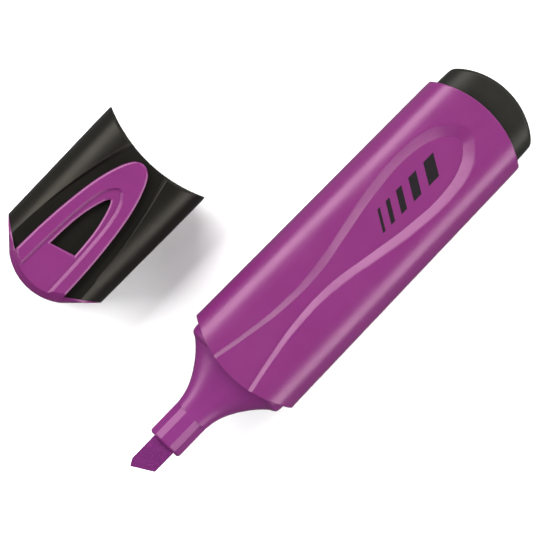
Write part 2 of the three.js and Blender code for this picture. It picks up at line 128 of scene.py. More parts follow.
# Nib: two slanted cuts leave a wedge, NIB_TIP_HALF_THICKNESS from the middle at WEDGE_START.
NIB_HALF_WIDTH, NIB_HALF_THICKNESS, NIB_TAIL, NIB_SLACK = 2.67, 1.95, 36.5, 0.06
NIB_OUTLINE = [
    (NIB_TAIL, NIB_HALF_WIDTH), (1.3, NIB_HALF_WIDTH), (-0.18, 1.84),
    (2.5, -NIB_HALF_WIDTH), (NIB_TAIL, -NIB_HALF_WIDTH)]
NIB_TIP_HALF_THICKNESS, NIB_WEAR, NIB_WEAR_ANGLE = 0.6, 0.14, 12
WEDGE_RUN, WEDGE_TURN, WEDGE_START = 5.0, 0.44, (0.6, 0.2)
WEDGE_LOW, WEDGE_HIGH = (-4, -6, 0), (8, 6, 4)

# End plug: vertices past PLUG_BOW are bowed with its face.
PLUG_RADIUS, PLUG_EDGE, PLUG_BOW = 16.3, 0.8, 104
PLUG_HALF_WIDTH, PLUG_HALF_THICKNESS = 11.45, 6.7
PLUG_FACE_HALF_WIDTH, PLUG_FACE_HALF_THICKNESS = 11.3, PLUG_HALF_THICKNESS - 0.05
PLUG_SIDE = [
    (94.2, PLUG_HALF_WIDTH, PLUG_HALF_THICKNESS), (99.9, PLUG_HALF_WIDTH, PLUG_HALF_THICKNESS),
    (102.5, 11.35, PLUG_HALF_THICKNESS - 0.02)]
PLUG_HOLLOW = [(93, 10.0, 5.2), (101.5, 9.9, 5.1)]

# Cap, counted back from the mouth's corners. Ends are (shoulder, apex, bend x, bend y): straight
# from the shoulder to the bend, then an arch over the apex.
CAP_LENGTH = 38.3
CAP_HALF_WIDTH, CAP_END_HALF_WIDTH = 13.45, 13.1
CAP_SHOULDER = -30.2
CAP_END = (CAP_SHOULDER, -CAP_LENGTH, -35.8, 7.3)
SHELL_END = (-30.1, -36.1, -34.3, 7.1)
SHELL_GAP = 0.08
PAST_MOUTH = 2
END_ROUND = 2.0
MOUTH_APEX, MOUTH_RADIUS, MOUTH_BOW = -2.8, 32, -3.7
MOUTH_CHAMFER_BACK = 0.62
# Rows of (back from the apex, in from the side, in from the face), round the chamfer to the bore.
MOUTH_CHAMFER = [
    (0.1, 0.08, 0.34), (0, 0.14, 0.48), (0, SIDE_WALL - 0.08, FACE_WALL - 0.1),
    (0.12, SIDE_WALL, FACE_WALL)]
CAP_REAR, CAP_FRONT = -39.3, -5.0
CAP_INSIDE = [(-6, 6.9), (-8.5, 6.5), (-11, 5.5), (-13.5, 5), (-28.8, 5)]
CAP_INSIDE_END = (-33, 7.0, 5)
SLEEVE_OUTSIDE = [(-32.9, 5.4, 4.6), (-15.1, 5.4, 4.6)]
SLEEVE_BORE = [(-31.8, 4.3, 3.5), (-14, 4.3, 3.5)]

# The channel that the clip lies in.
CHANNEL_FLOOR = [
    (6, 3.5), (-3, 4.75), (-10, 6.45), (-16, 7.75), (-22, 8.7), (-29, 9.4), (-42, 9.85)]
CHANNEL_RIM = [
    (6, 4.2), (-3, 5.5), (-10, 7.05), (-16, 8.15), (-22, 9.0), (-29, 9.6), (-42, 10.1)]
CHANNEL_MOUTH_DEPTH, CHANNEL_END_DEPTH = 0.55, 0.95
CHANNEL_LAYERS = [(0.9, 0.9), (1.25, 1.06)]

# Clip: CLIP_EDGE rows are (inset, drop) of its rounded upper edge.
CLIP_OUTLINE = [
    (-44, 7.1), (-34, 6.93), (-29, 6.8), (-24.5, 6.54), (-20, 6.12), (-15.5, 5.53), (-11.5, 4.75),
    (-8.2, 3.75), (-5.8, 2.7), (-4.4, 1.6)]
CLIP_TIP = -3.8
CLIP_EDGE = [(0, 0.36), (0.03, 0.25), (0.09, 0.19), (0.44, 0.02), (0.52, 0)]
CLIP_FOOT, CLIP_UNDERSIDE, CLIP_TOP = 7.5, 8.0, 9.4
CLIP_ROOT = -33.45
ROOT_SEAT_FRONT, ROOT_SEAT_GAP, ROOT_SEAT_SCALE = (-30, 6.8), 0.03, 1.004
RECESS_OUTLINE = [
    (-39, 4.1), (-33, 3.93), (-28, 3.78), (-23.5, 3.56), (-19.5, 3.25), (-16, 2.76), (-13.4, 2.05),
    (-11.9, 1.2)]
RECESS_TIP = -11.1
RECESS_FLOOR = CLIP_TOP - 0.46
RECESS_LAYERS = [
    (-0.05, -0.08, RECESS_FLOOR), (0.02, 0.02, RECESS_FLOOR + 0.05), (0.24, 0.5, CLIP_TOP - 0.06),
    (0.36, 0.64, CLIP_TOP + 0.02), (0.36, 0.64, CLIP_TOP + 2)]
WINDOW_OUTLINE = [(-24, 2.52), (-20.5, 2.16), (-17.5, 1.56), (-15.2, 0.88), (-14.1, 0.42)]
WINDOW_TIP = -13.7
WINDOW_LEFT, WINDOW_RIGHT = (-28.5, 2.7), (-26.85, -2.7)
WINDOW_LAYERS = [
    (0, CLIP_FOOT - 1), (0, RECESS_FLOOR - 0.26), (0.05, RECESS_FLOOR - 0.18),
    (0.42, RECESS_FLOOR + 0.01), (0.42, RECESS_FLOOR + 2)]


# ---- Working by hand: small tools ----

def fresh():
    """Nothing selected, in object mode."""
    if bpy.context.object and bpy.context.object.mode != "OBJECT":
        bpy.ops.object.mode_set(mode="OBJECT")
    bpy.ops.object.select_all(action="DESELECT")


def take(piece):
    """Makes the piece the only selected one."""
    fresh()
    piece.select_set(True)
    bpy.context.view_layer.objects.active = piece
    return piece


def named(name):
    """Gives the active piece and its mesh their name."""
    piece = bpy.context.view_layer.objects.active
    piece.name = name
    piece.data.name = name
    return piece


def let_go(piece, kind):
    """Takes the piece with none of its vertices, edges or faces selected."""
    take(piece)
    bpy.ops.object.mode_set(mode="EDIT")
    bpy.ops.mesh.select_mode(type=kind)
    bpy.ops.mesh.select_all(action="DESELECT")
    bpy.ops.object.mode_set(mode="OBJECT")


def pick(piece, kind, test):
    """Opens the piece for editing with the vertices, edges or faces that pass the test selected."""
    let_go(piece, kind)
    mesh = piece.data
    if kind == "VERT":
        for vertex in mesh.vertices:
            vertex.select = test(vertex.co)
    elif kind == "EDGE":
        for edge in mesh.edges:
            edge.select = test(*(mesh.vertices[i].co for i in edge.vertices))
    else:
        for face in mesh.polygons:
            face.select = test(face)
    bpy.ops.object.mode_set(mode="EDIT")


def pick_run(piece, first, end):
    """Opens the piece for editing with the vertices numbered first up to end selected."""
    let_go(piece, "VERT")
    for vertex in piece.data.vertices:
        vertex.select = first <= vertex.index < end
    for edge in piece.data.edges:
        edge.select = all(first <= i < end for i in edge.vertices)
    bpy.ops.object.mode_set(mode="EDIT")


def close_up(piece):
    """Merges doubles and turns every face outwards."""
    take(piece)
    bpy.ops.object.mode_set(mode="EDIT")
    bpy.ops.mesh.select_mode(type="VERT")
    bpy.ops.mesh.select_all(action="SELECT")
    bpy.ops.mesh.remove_doubles(threshold=1e-4)
    bpy.ops.mesh.normals_make_consistent(inside=False)
    bpy.ops.object.mode_set(mode="OBJECT")
    return piece


def combine(piece, tool, how="DIFFERENCE"):
    """Cuts the tool from the piece, joins it on, or keeps what they share."""
    take(piece)
    step = piece.modifiers.new("combine", "BOOLEAN")
    step.operation = how
    step.solver = "EXACT"
    step.object = tool
    bpy.ops.object.modifier_apply(modifier=step.name)
    bpy.data.objects.remove(tool)
    return piece


def ease_edges(piece, width, test, segments, profile=0.5):
    """Rounds the edges whose two ends pass the test."""
    pick(piece, "EDGE", test)
    bpy.ops.mesh.bevel(
        offset=width, segments=segments, profile=profile, affect="EDGES", clamp_overlap=False)
    bpy.ops.object.mode_set(mode="OBJECT")
    return piece


def sweep_on(stations):
    """Pushes the selected section along X from the first station to the last."""
    for here, there in zip(stations, stations[1:]):
        move = (there[0] - here[0], 0, 0)
        bpy.ops.mesh.extrude_region_move(TRANSFORM_OT_translate={"value": move})
        grow = (1, there[1] / here[1], there[2] / here[2])
        bpy.ops.transform.resize(value=grow, center_override=(there[0], 0, 0))


def rounded_bar(name, stations, steps, flank=BODY_FLANK, flat=FLAT_SHARE):
    """A bar along X with a flat middle and rounded flanks, squarer for a larger flank number.

    A last station with almost no thickness closes the bar in a seam.
    """
    fresh()
    bpy.ops.mesh.primitive_plane_add(size=2)
    bar = named(name)
    x, half_width, half_thickness = stations[0]
    drawn_half_width = half_thickness / (1 - flat)
    bpy.ops.object.mode_set(mode="EDIT")
    bpy.ops.mesh.select_all(action="SELECT")
    bpy.ops.transform.rotate(value=math.pi / 2, orient_axis="Y", center_override=(0, 0, 0))
    bpy.ops.transform.resize(value=(1, drawn_half_width, half_thickness), center_override=(0, 0, 0))
    # A corner bevelled with this profile follows a power curve of the flank number.
    power_profile = 0.25 ** (1 / flank)
    bpy.ops.mesh.bevel(
        offset=half_thickness, segments=steps, profile=power_profile, affect="VERTICES",
        clamp_overlap=False)
    bpy.ops.mesh.select_all(action="SELECT")
    bpy.ops.mesh.remove_doubles(threshold=1e-3)
    pick(bar, "EDGE", lambda one, other: abs(one.y - other.y) > 1.5 * flat * drawn_half_width)
    bpy.ops.mesh.subdivide(number_cuts=FACE_CUTS)
    bpy.ops.mesh.select_all(action="SELECT")
    bpy.ops.transform.resize(value=(1, half_width / drawn_half_width, 1), center_override=(0, 0, 0))
    bpy.ops.transform.translate(value=(x, 0, 0))
    sweep_on(stations)
    if stations[-1][2] < SEAM_THICKNESS * 2:
        bpy.ops.mesh.delete(type="FACE")
    bpy.ops.object.mode_set(mode="OBJECT")
    return close_up(bar)


def spread(first, last, count):
    """Numbers from first to last in count equal steps."""
    return [first + (last - first) * i / count for i in range(count + 1)]


def smooth_through(rows, step):
    """Rows about a step apart on a smooth line through the given rows, whose first number is X."""
    padded = [rows[0], *rows, rows[-1]]
    line = []
    for before, here, there, after in zip(padded, padded[1:], padded[2:], padded[3:]):
        count = max(1, round((there[0] - here[0]) / step))
        for i in range(count):
            t = i / count
            line.append(tuple(
                (2 * q + (r - p) * t + (2 * p - 5 * q + 4 * r - s) * t ** 2
                 + (3 * q - p - 3 * r + s) * t ** 3) / 2
                for p, q, r, s in zip(before, here, there, after)))
    return [*line, rows[-1]]


def drawn_loop(name, points, straight=(), detail=10):
    """A closed smooth line through the points, as a mesh, with corners at those in straight."""
    curve = bpy.data.curves.new(name, "CURVE")
    curve.dimensions = "3D"
    curve.resolution_u = detail
    spline = curve.splines.new("BEZIER")
    spline.bezier_points.add(len(points) - 1)
    spline.use_cyclic_u = True
    for number, (knot, point) in enumerate(zip(spline.bezier_points, points)):
        knot.co = point
        kind = "VECTOR" if number in straight else "AUTO"
        knot.handle_left_type = kind
        knot.handle_right_type = kind
    line = bpy.data.objects.new(name, curve)
    bpy.context.scene.collection.objects.link(line)
    take(line)
    bpy.ops.object.convert(target="MESH")
    return named(name)


def drawn_outline(name, points):
    """A closed outline of straight strokes in a plane, as a mesh."""
    return drawn_loop(name, [(x, y, 0) for x, y in points], straight=range(len(points)), detail=1)


def push_up(loop, low, high):
    """Fills a flat loop at height 0 and pushes it up into a solid from low to high."""
    take(loop)
    bpy.ops.object.mode_set(mode="EDIT")
    bpy.ops.mesh.select_all(action="SELECT")
    bpy.ops.mesh.remove_doubles(threshold=1e-4)
    bpy.ops.mesh.select_all(action="SELECT")
    bpy.ops.mesh.edge_face_add()
    bpy.ops.transform.translate(value=(0, 0, low))
    bpy.ops.mesh.extrude_region_move(TRANSFORM_OT_translate={"value": (0, 0, high - low)})
    bpy.ops.object.mode_set(mode="OBJECT")
    return close_up(loop)


def skin_loops(name, loops):
    """Joins loops of equal count one after another, and closes the first and the last."""
    count = len(loops[0].data.vertices)
    fresh()
    for loop in loops:
        loop.select_set(True)
    bpy.context.view_layer.objects.active = loops[0]
    bpy.ops.object.join()
    skin = named(name)
    for lower in range(len(loops) - 1):
        pick_run(skin, lower * count, (lower + 2) * count)
        bpy.ops.mesh.bridge_edge_loops()
    for first in (0, (len(loops) - 1) * count):
        pick_run(skin, first, first + count)
        bpy.ops.mesh.edge_face_add()
    return close_up(skin)


def block(name, low, high):
    """A plain cutting block between two corners."""
    fresh()
    bpy.ops.mesh.primitive_cube_add(size=1, location=[(a + b) / 2 for a, b in zip(low, high)])
    cube = named(name)
    cube.scale = [b - a for a, b in zip(low, high)]
    bpy.ops.object.transform_apply(location=True, rotation=True, scale=True)
    return cube


def settle(piece, place, material, smooth=14):
    """Turns millimetres into metres, puts the piece in its place and gives it its finish.

    Edges that turn by less than smooth, in degrees, are shaded round.
    """
    take(piece)
    piece.scale = (MM, MM, MM)
    piece.location = place
    bpy.ops.object.transform_apply(location=True, rotation=True, scale=True)
    bpy.ops.object.shade_smooth_by_angle(angle=math.radians(smooth))
    piece.data.materials.clear()
    piece.data.materials.append(material)
    return piece


# ---- Outlines ----

def face_height(y, half_width, half_thickness):
    """Height of the body's face at a distance y from its middle."""
    flat = FLAT_SHARE * half_width
    across = min(1, max(0, abs(y) - flat) / (half_width - flat))
    return half_thickness * (1 - across ** BODY_FLANK) ** (1 / BODY_FLANK)


def arc(centre_x, radius, start, end, count):
    """Points of an arc about (centre_x, 0), from angle start to angle end."""
    return [
        (centre_x + radius * math.cos(angle), radius * math.sin(angle))
        for angle in spread(start, end, count)]


def mirrored(stations, tip, height, tip_height):
    """Upper points, a tip and lower points; height gives Z at each (x, y)."""
    upper = [(x, y, height(x, y)) for x, y in stations]
    lower = [(x, -y, z) for x, y, z in reversed(upper)]
    return [*upper, (tip, 0, tip_height), *lower]


def between(low, high, out, up):
    """The loop at a share of the way from one loop to another: out in X and Y, up in Z."""
    return [
        tuple(a + (b - a) * share for a, b, share in zip(near, far, (out, out, up)))
        for near, far in zip(low, high)]


def hollow_cutter(name, floor, rim, layers, straight):
    """A solid that cuts a shallow hollow: flat floor, sloping sides and a softened lip."""
    rings = [floor, *[between(floor, rim, out, up) for out, up in layers]]
    rings.append([(x, y, HALF_THICKNESS + CUT_PAST) for x, y, _ in rings[-1]])
    return skin_loops(name, [
        drawn_loop(f"{name}_{i}", ring, straight) for i, ring in enumerate(rings)])


def end_outline(shoulder, apex, bend_x, bend_y):
    """The closed end of the cap from above: straight shoulders and an arched middle."""
    wide = CAP_HALF_WIDTH + CUT_PAST
    slope = (shoulder - bend_x) / (CAP_END_HALF_WIDTH - bend_y)
    outer_x = shoulder + slope * (wide - CAP_END_HALF_WIDTH)
    sagitta = bend_x - apex
    radius = (bend_y ** 2 + sagitta ** 2) / (2 * sagitta)
    angle = math.asin(bend_y / radius)
    middle = arc(apex + radius, radius, math.pi - angle, math.pi + angle, 40)
    return [
        (PAST_MOUTH, wide), (outer_x, wide), *middle, (outer_x, -wide), (PAST_MOUTH, -wide)]


# ---- Shared finishes ----

def new_group(name, inputs, outputs):
    """An empty node group with these inputs and outputs, and its two end nodes."""
    tree = bpy.data.node_groups.new(name, "ShaderNodeTree")
    for label, kind, default in inputs:
        socket = tree.interface.new_socket(name=label, in_out="INPUT", socket_type=kind)
        if default is not None:
            socket.default_value = default
    for label, kind in outputs:
        tree.interface.new_socket(name=label, in_out="OUTPUT", socket_type=kind)
    return tree, tree.nodes.new("NodeGroupInput"), tree.nodes.new("NodeGroupOutput")


# Where nearly all of a noise's values lie.
NOISE_SPAN = (0.3, 0.7)


def noise(tree, vector, scale, detail=3.0, roughness=0.5):
    """Cloudy noise."""
    node = tree.nodes.new("ShaderNodeTexNoise")
    node.inputs["Scale"].default_value = scale
    node.inputs["Detail"].default_value = detail
    node.inputs["Roughness"].default_value = roughness
    tree.links.new(vector, node.inputs["Vector"])
    return node.outputs["Fac"]


def remap(tree, value, low, high, to_low=0, to_high=1):
    """Stretches low..high to to_low..to_high and stops at both ends."""
    node = tree.nodes.new("ShaderNodeMapRange")
    limits = {"From Min": low, "From Max": high, "To Min": to_low, "To Max": to_high}
    for label, number in limits.items():
        node.inputs[label].default_value = number
    tree.links.new(value, node.inputs["Value"])
    return node.outputs["Result"]


def combine_values(tree, how, first, second):
    """Two values put together, each a socket or a plain number."""
    node = tree.nodes.new("ShaderNodeMath")
    node.operation = how
    for socket, value in zip(node.inputs, (first, second)):
        if isinstance(value, (int, float)):
            socket.default_value = value
        else:
            tree.links.new(value, socket)
    return node.outputs[0]


def stretched(tree, vector, scale, turn=(0, 0, 0)):
    """The pattern's own coordinates, turned and stretched."""
    node = tree.nodes.new("ShaderNodeMapping")
    node.inputs["Scale"].default_value = scale
    node.inputs["Rotation"].default_value = turn
    tree.links.new(vector, node.inputs["Vector"])
    return node.outputs["Vector"]


def mould_surface_group():
    """Height of a moulded plastic surface: fine spark texture over a slow orange peel."""
    tree, given, made = new_group(
        "mould surface",
        [("Vector", "NodeSocketVector", None),
         ("Spark", "NodeSocketFloat", 0.5),
         ("Peel", "NodeSocketFloat", 0.5)],
        [("Height", "NodeSocketFloat")])
    spark = noise(tree, given.outputs["Vector"], scale=9000, detail=2)
    peel = noise(tree, given.outputs["Vector"], scale=700, detail=1)
    fine = combine_values(tree, "MULTIPLY", spark, given.outputs["Spark"])
    slow = combine_values(tree, "MULTIPLY", peel, given.outputs["Peel"])
    tree.links.new(combine_values(tree, "ADD", fine, slow), made.inputs["Height"])
    return tree


def handling_group():
    """Masks of a handled surface: hairline scratches and broad smudges."""
    tree, given, made = new_group(
        "handling",
        [("Vector", "NodeSocketVector", None)],
        [("Scratches", "NodeSocketFloat"), ("Smudges", "NodeSocketFloat")])
    scratches = None
    for turn, along in ((0.3, 56), (1.2, 72), (2.1, 88)):
        laid = stretched(tree, given.outputs["Vector"], (along, 5200, 5200), (0, 0, turn))
        lines = remap(tree, noise(tree, laid, scale=1, detail=1), 0.69, 0.74)
        if scratches is not None:
            lines = combine_values(tree, "MAXIMUM", scratches, lines)
        scratches = lines
    smudges = noise(tree, given.outputs["Vector"], scale=85, detail=4, roughness=0.6)
    tree.links.new(scratches, made.inputs["Scratches"])
    tree.links.new(remap(tree, smudges, 0.42, 0.7), made.inputs["Smudges"])
    return tree


def place_group(tree, group, vector, **values):
    """Puts a shared group into a material with its own values."""
    node = tree.nodes.new("ShaderNodeGroup")
    node.node_tree = group
    tree.links.new(vector, node.inputs["Vector"])
    for label, value in values.items():
        node.inputs[label].default_value = value
    return node


def start_material(name):
    """A new material, its tree, its shader and the coordinates of the piece it is on."""
    material = bpy.data.materials.new(name)
    material.use_nodes = True
    tree = material.node_tree
    shader = tree.nodes["Principled BSDF"]
    coordinates = tree.nodes.new("ShaderNodeTexCoord").outputs["Object"]
    return material, tree, shader, coordinates


def mix_colour(tree, amount, first, second):
    """First colour where the amount is 0, second where it is 1; each a socket or a plain colour."""
    node = tree.nodes.new("ShaderNodeMix")
    node.data_type = "RGBA"
    tree.links.new(amount, node.inputs["Factor"])
    for socket, value in ((node.inputs[6], first), (node.inputs[7], second)):
        if isinstance(value, tuple):
            socket.default_value = (*value, 1)
        else:
            tree.links.new(value, socket)
    return node.outputs[2]


def add_bump(tree, shader, height, depth):
    """Lets the height, of this depth in metres, tilt the shader's surface."""
    bump = tree.nodes.new("ShaderNodeBump")
    bump.inputs["Distance"].default_value = depth
    bump.inputs["Strength"].default_value = 1.0
    tree.links.new(height, bump.inputs["Height"])
    tree.links.new(bump.outputs["Normal"], shader.inputs["Normal"])


MOULD_SURFACE = mould_surface_group()
HANDLING = handling_group()


def moulded_plastic(
        name, colour, darker, roughness, spark, peel, depth,
        scratch=0.1, gloss=0.5, sheen_tint=(1, 1, 1)):
    """Moulded plastic: uneven pigment, fine surface texture, smudges and hairline scratches."""
    material, tree, shader, coordinates = start_material(name)
    surface = place_group(tree, MOULD_SURFACE, coordinates, Spark=spark, Peel=peel)
    handled = place_group(tree, HANDLING, coordinates)
    pigment = remap(tree, noise(tree, coordinates, scale=160, detail=3), *NOISE_SPAN)
    tree.links.new(mix_colour(tree, pigment, colour, darker), shader.inputs["Base Color"])
    dulled = roughness + 0.07
    smudged = remap(tree, handled.outputs["Smudges"], 0, 1, roughness, dulled)
    scratched = combine_values(tree, "MULTIPLY", handled.outputs["Scratches"], scratch)
    tree.links.new(combine_values(tree, "ADD", smudged, scratched), shader.inputs["Roughness"])
    shader.inputs["Specular IOR Level"].default_value = gloss
    shader.inputs["Specular Tint"].default_value = (*sheen_tint, 1)
    add_bump(tree, shader, surface.outputs["Height"], depth)
    return material


PURPLE = moulded_plastic(
    "purple_plastic", colour=(0.115, 0.0126, 0.0885), darker=(0.1075, 0.0113, 0.082),
    roughness=0.32, spark=0.25, peel=1.0, depth=0.00002, gloss=0.47, sheen_tint=(1, 0.68, 0.84))
SATIN_PURPLE = moulded_plastic(
    "satin_purple_plastic", colour=(0.12, 0.0118, 0.0985), darker=(0.112, 0.0105, 0.092),
    roughness=0.42, spark=0.4, peel=1.0, depth=0.00002, scratch=0.05, gloss=0.46,
    sheen_tint=(1, 0.68, 0.84))
BLACK = moulded_plastic(
    "black_plastic", colour=(0.0043, 0.0042, 0.0034), darker=(0.0036, 0.0035, 0.0028),
    roughness=0.37, spark=0.3, peel=1.0, depth=0.000012, gloss=0.17, sheen_tint=(1, 0.93, 0.8))
MATT_BLACK = moulded_plastic(
    "matt_black_plastic", colour=(0.0056, 0.0055, 0.0046), darker=(0.004, 0.004, 0.0034),
    roughness=0.46, spark=1.0, peel=0.6, depth=0.00003, scratch=0.0, gloss=0.23,
    sheen_tint=(1, 0.96, 0.86))
SLEEVE = moulded_plastic(
    "sleeve_plastic", colour=(0.02, 0.02, 0.022), darker=(0.016, 0.016, 0.018),
    roughness=0.42, spark=0.2, peel=0.8, depth=0.00001)


def felt_material():
    """Pressed felt soaked with ink: lengthwise fibres and paler speckle."""
    material, tree, shader, coordinates = start_material("inked_felt")
    wet, dry, dots = (0.067, 0.0048, 0.061), (0.114, 0.0098, 0.095), (0.2, 0.04, 0.2)
    laid = stretched(tree, coordinates, (1200, 9000, 9000))
    fibres = noise(tree, laid, scale=1, detail=4, roughness=0.6)
    speckle = remap(tree, noise(tree, coordinates, scale=5200, detail=2), 0.56, 0.7)
    soaked = mix_colour(tree, remap(tree, fibres, *NOISE_SPAN), wet, dry)
    dotted = mix_colour(tree, combine_values(tree, "MULTIPLY", speckle, 0.45), soaked, dots)
    tree.links.new(dotted, shader.inputs["Base Color"])
    shader.inputs["Roughness"].default_value = 0.92
    shader.inputs["Specular IOR Level"].default_value = 0.2
    add_bump(tree, shader, fibres, 0.00012)
    return material


def ink_material():
    """Pad-printed ink: dense black with slight thinning."""
    material, tree, shader, coordinates = start_material("print_ink")
    dense, faint = (0.004, 0.0025, 0.004), (0.009, 0.005, 0.008)
    thin = remap(tree, noise(tree, coordinates, scale=2600, detail=3), 0.55, 0.75)
    tree.links.new(mix_colour(tree, thin, dense, faint), shader.inputs["Base Color"])
    shader.inputs["Roughness"].default_value = 0.6
    shader.inputs["Specular IOR Level"].default_value = 0.15
    add_bump(tree, shader, thin, 0.000006)
    return material


def fibre_material(name, colour, darker, roughness, scale):
    """Lengthwise fibres or film creases for the filling inside the pen."""
    material, tree, shader, coordinates = start_material(name)
    laid = stretched(tree, coordinates, (scale / 8, scale, scale))
    strands = noise(tree, laid, scale=1, detail=3, roughness=0.6)
    shade = mix_colour(tree, remap(tree, strands, *NOISE_SPAN), colour, darker)
    tree.links.new(shade, shader.inputs["Base Color"])
    dulled = remap(tree, strands, *NOISE_SPAN, roughness, roughness + 0.08)
    tree.links.new(dulled, shader.inputs["Roughness"])
    add_bump(tree, shader, strands, 0.0001)
    return material


FELT = felt_material()
INK = ink_material()
FIBRE = fibre_material(
    "inked_fibre", colour=(0.26, 0.04, 0.27), darker=(0.2, 0.028, 0.21), roughness=0.88, scale=8000)
FILM = fibre_material(
    "film", colour=(0.6, 0.5, 0.64), darker=(0.54, 0.44, 0.58), roughness=0.26, scale=900)


# ---- Pen ----

def barrel_half_width(x):
    """Half the barrel's width, which narrows a little to the rear."""
    share = (x - SEAM_CORNER) / (RIM_CORNER - SEAM_CORNER)
    return HALF_WIDTH + share * (REAR_HALF_WIDTH - HALF_WIDTH)


def panel_cutter():
    """The hourglass panel as a solid to cut away."""
    def floor_z(x, y=0):
        return HALF_THICKNESS - PANEL_FRONT_DEPTH - PANEL_FALL * (x - PANEL_START)

    def rim_z(x, y):
        return face_height(y, barrel_half_width(x), HALF_THICKNESS)

    floor = mirrored(PANEL_FLOOR, PANEL_FLOOR_TIP, floor_z, floor_z(PANEL_FLOOR_TIP))
    rim = mirrored(PANEL_RIM, PANEL_RIM_TIP, rim_z, HALF_THICKNESS)
    return hollow_cutter("panel_cutter", floor, rim, PANEL_LAYERS, (0, len(floor) - 1))


def arc_drop(radius, y):
    """How far an arc of this radius falls back at a distance y from its middle."""
    return radius - math.sqrt(radius ** 2 - y ** 2)


def bow_end(piece, near, radius, way, low_end):
    """Bows a flat end into an arc: the further a vertex past near is from the middle, the more."""
    def is_end(point):
        return point.x < near if low_end else point.x > near

    # Each pair of rows at the same distance from the middle is a level, told apart to a thousandth.
    levels = sorted({round(abs(v.co.y), 3) for v in piece.data.vertices if is_end(v.co)})
    for level in levels[1:] if levels[0] == 0 else levels:
        pick(piece, "VERT", lambda point: is_end(point) and abs(abs(point.y) - level) < 6e-4)
        bpy.ops.transform.translate(value=(way * arc_drop(radius, level), 0, 0))
        bpy.ops.object.mode_set(mode="OBJECT")
    return piece


def rounded_rim(x, way, half_width, half_thickness, radius=RIM_ROUND, steps=3):
    """Stations round an outer edge, from the end face at x to the side; way is 1 at a front end."""
    turns = [math.pi / 2 * i / steps for i in range(steps + 1)]
    return [
        (x + way * radius * (1 - math.cos(turn)),
         half_width - radius * (1 - math.sin(turn)),
         half_thickness - radius * (1 - math.sin(turn)))
        for turn in turns]


def make_barrel():
    """A tube swept out along the bore and back along the outside, with both ends bowed."""
    def outside(x):
        return (x, barrel_half_width(x), HALF_THICKNESS)

    def bore(x):
        return (x, barrel_half_width(x) - SIDE_WALL, HALF_THICKNESS - FACE_WALL)

    front = rounded_rim(SEAM_APEX, 1, *outside(SEAM_APEX)[1:])
    rear = rounded_rim(RIM_APEX, -1, *outside(RIM_APEX)[1:])
    along = [outside(x) for x in spread(BARREL_FRONT, BARREL_REAR, 24)]
    path = [
        bore(BARREL_MIDDLE), bore(BARREL_FRONT), bore(SEAM_APEX), *front, *along, *reversed(rear),
        bore(RIM_APEX), bore(BARREL_REAR), bore(BARREL_MIDDLE)]
    barrel = rounded_bar("barrel_shell", path, steps=24)
    pick(barrel, "FACE", lambda face: (
        abs(face.normal.x) > 0.99 and abs(face.center.x - BARREL_MIDDLE) < 0.01))
    bpy.ops.mesh.delete(type="FACE")
    bpy.ops.object.mode_set(mode="OBJECT")
    close_up(barrel)
    bow_end(barrel, FRONT_BOW, SEAM_RADIUS, 1, low_end=True)
    bow_end(barrel, REAR_BOW, RIM_RADIUS, -1, low_end=False)
    return close_up(barrel)


def make_nozzle():
    """The straight faceted tube round the nib, with a rounded front rim."""
    size = (NOZZLE_HALF_WIDTH, NOZZLE_HALF_THICKNESS)
    rim = rounded_rim(NOZZLE_FRONT, 1, *size, radius=NOZZLE_ROUND, steps=5)
    stations = [*rim, (FLARE_START + NOZZLE_OVERLAP, *size)]
    ring = [*NOZZLE_HALF_RING, *[(-y, -z) for y, z in NOZZLE_HALF_RING]]
    section = [(NOZZLE_FRONT, y, z) for y, z in ring]
    nozzle = drawn_loop("nozzle", section, straight=range(len(section)), detail=1)
    take(nozzle)
    bpy.ops.object.mode_set(mode="EDIT")
    bpy.ops.mesh.select_all(action="SELECT")
    bpy.ops.mesh.edge_face_add()
    _, half_width, half_thickness = rim[0]
    bpy.ops.transform.resize(
        value=(1, half_width / NOZZLE_HALF_WIDTH, half_thickness / NOZZLE_HALF_THICKNESS),
        center_override=(NOZZLE_FRONT, 0, 0))
    sweep_on(stations)
    bpy.ops.object.mode_set(mode="OBJECT")
    return close_up(nozzle)


def make_front_section():
    """A nearly oval flare on a squarer skirt, with the nozzle on its front and hollow behind."""
    flare = [*smooth_through(FLARE, 0.6), FLARE_REAR]
    section = rounded_bar("front_section", flare, 20, NOSE_FLANK, NOSE_FLAT)
    combine(section, rounded_bar("skirt", SKIRT, steps=16), "UNION")
    combine(section, make_nozzle(), "UNION")
    combine(section, rounded_bar("front_hollow", FRONT_HOLLOW, steps=8))
    return combine(section, block(
        "nib_channel",
        (0, -NIB_HALF_WIDTH - NIB_SLACK, -NIB_HALF_THICKNESS - NIB_SLACK),
        (SPIGOT_END + 1, NIB_HALF_WIDTH + NIB_SLACK, NIB_HALF_THICKNESS + NIB_SLACK)))


def make_nib():
    """A felt bar with a slanted wedge tip and worn edges."""
    nib = push_up(
        drawn_outline("chisel_nib", NIB_OUTLINE), -NIB_HALF_THICKNESS, NIB_HALF_THICKNESS)
    slope = math.atan((NIB_HALF_THICKNESS - NIB_TIP_HALF_THICKNESS) / WEDGE_RUN)
    for side, turned in ((1, (0, -slope, WEDGE_TURN)), (-1, (math.pi, slope, WEDGE_TURN))):
        wedge = block("wedge_cut", WEDGE_LOW, WEDGE_HIGH)
        take(wedge)
        wedge.rotation_euler = turned
        wedge.location = (*WEDGE_START, NIB_TIP_HALF_THICKNESS * side)
        bpy.ops.object.transform_apply(location=True, rotation=True, scale=True)
        combine(nib, wedge)
    take(nib)
    worn = nib.modifiers.new("worn edges", "BEVEL")
    worn.width = NIB_WEAR
    worn.segments = 3
    worn.limit_method = "ANGLE"
    worn.angle_limit = math.radians(NIB_WEAR_ANGLE)
    bpy.ops.object.modifier_apply(modifier=worn.name)
    return nib


